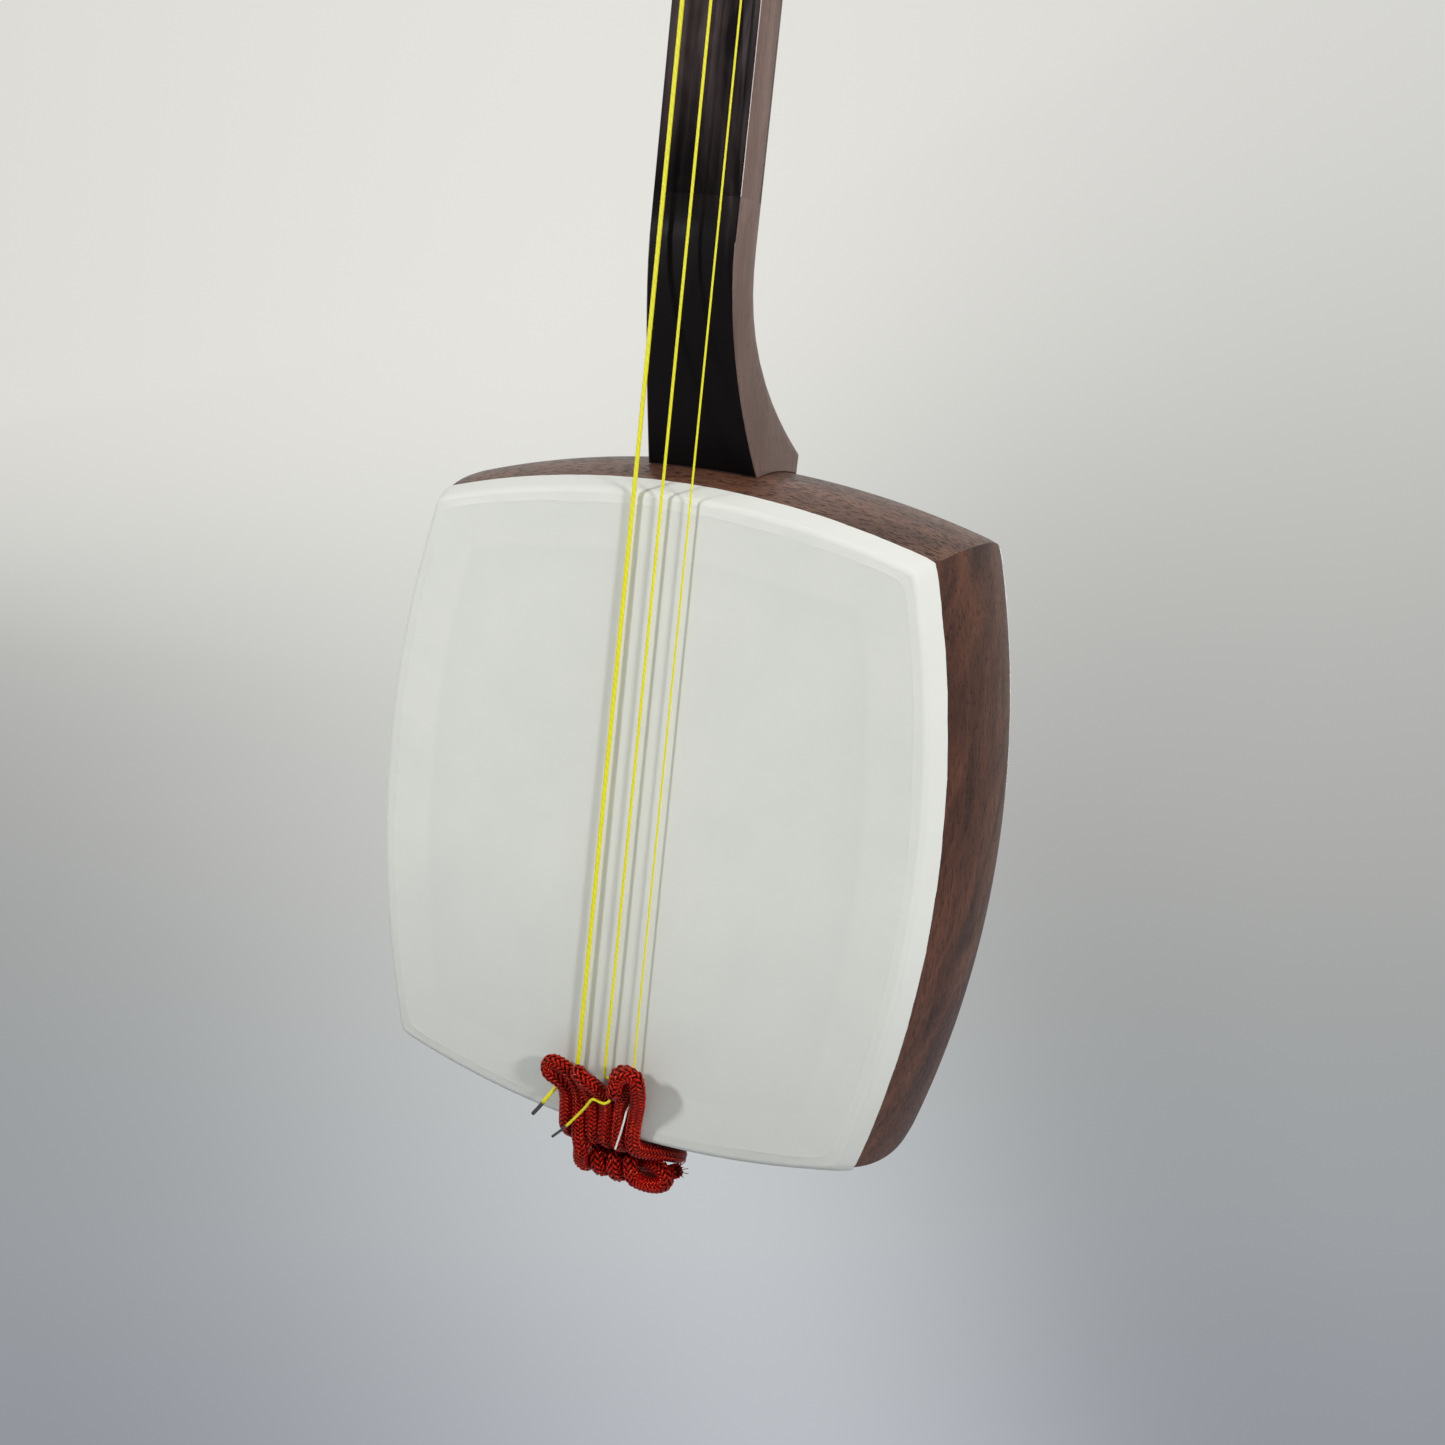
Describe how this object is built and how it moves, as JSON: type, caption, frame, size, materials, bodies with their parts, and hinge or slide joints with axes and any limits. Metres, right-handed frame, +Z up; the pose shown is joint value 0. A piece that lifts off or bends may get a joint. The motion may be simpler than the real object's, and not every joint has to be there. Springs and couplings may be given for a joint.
{
  "type": "shamisen",
  "caption": "Long-necked plucked lute with a square skin-covered wooden body, a take-apart neck, side pegs, silk strings and a red tail cord.",
  "frame": {"origin": "centre of the back skin's outer face", "axes": "+X to the viewer's right, +Y out of the back skin, +Z up the neck"},
  "size_m": [0.1912, 0.0932, 0.9971],
  "materials": {
    "body_wood": "oiled and polished",
    "skin": "matte, stretched",
    "rosewood": "polished",
    "brass": "polished",
    "silk": "twisted and waxed",
    "tail_cord": "braided silk"
  },
  "bodies": {
    "frame": {"do_top_board": "body_wood", "do_bottom_board": "body_wood", "do_left_board": "body_wood", "do_right_board": "body_wood", "front_skin": "skin", "back_skin": "skin", "lower_neck": "rosewood", "middle_neck": "rosewood", "upper_neck": "rosewood", "tenjin": "rosewood", "kamigoma": "brass", "seat_ring_1": "brass", "seat_ring_2": "brass", "seat_ring_3": "brass", "string_1": "silk", "string_2": "silk", "string_3": "silk", "neo": "tail_cord"},
    "peg_1": {"itomaki_1": "rosewood", "winding_1": "silk"},
    "peg_2": {"itomaki_2": "rosewood", "winding_2": "silk"},
    "peg_3": {"itomaki_3": "rosewood", "winding_3": "silk"}
  },
  "joints": [
    {"name": "peg_1_turn", "type": "hinge", "parent": "frame", "child": "peg_1", "pos_m": [0, -0.0581, 0.76143], "axis": [-1, 0, 0], "continuous": true},
    {"name": "peg_2_turn", "type": "hinge", "parent": "frame", "child": "peg_2", "pos_m": [0, -0.0529, 0.81343], "axis": [-1, 0, 0], "continuous": true},
    {"name": "peg_3_turn", "type": "hinge", "parent": "frame", "child": "peg_3", "pos_m": [0, -0.0555, 0.78743], "axis": [1, 0, 0], "continuous": true}
  ]
}
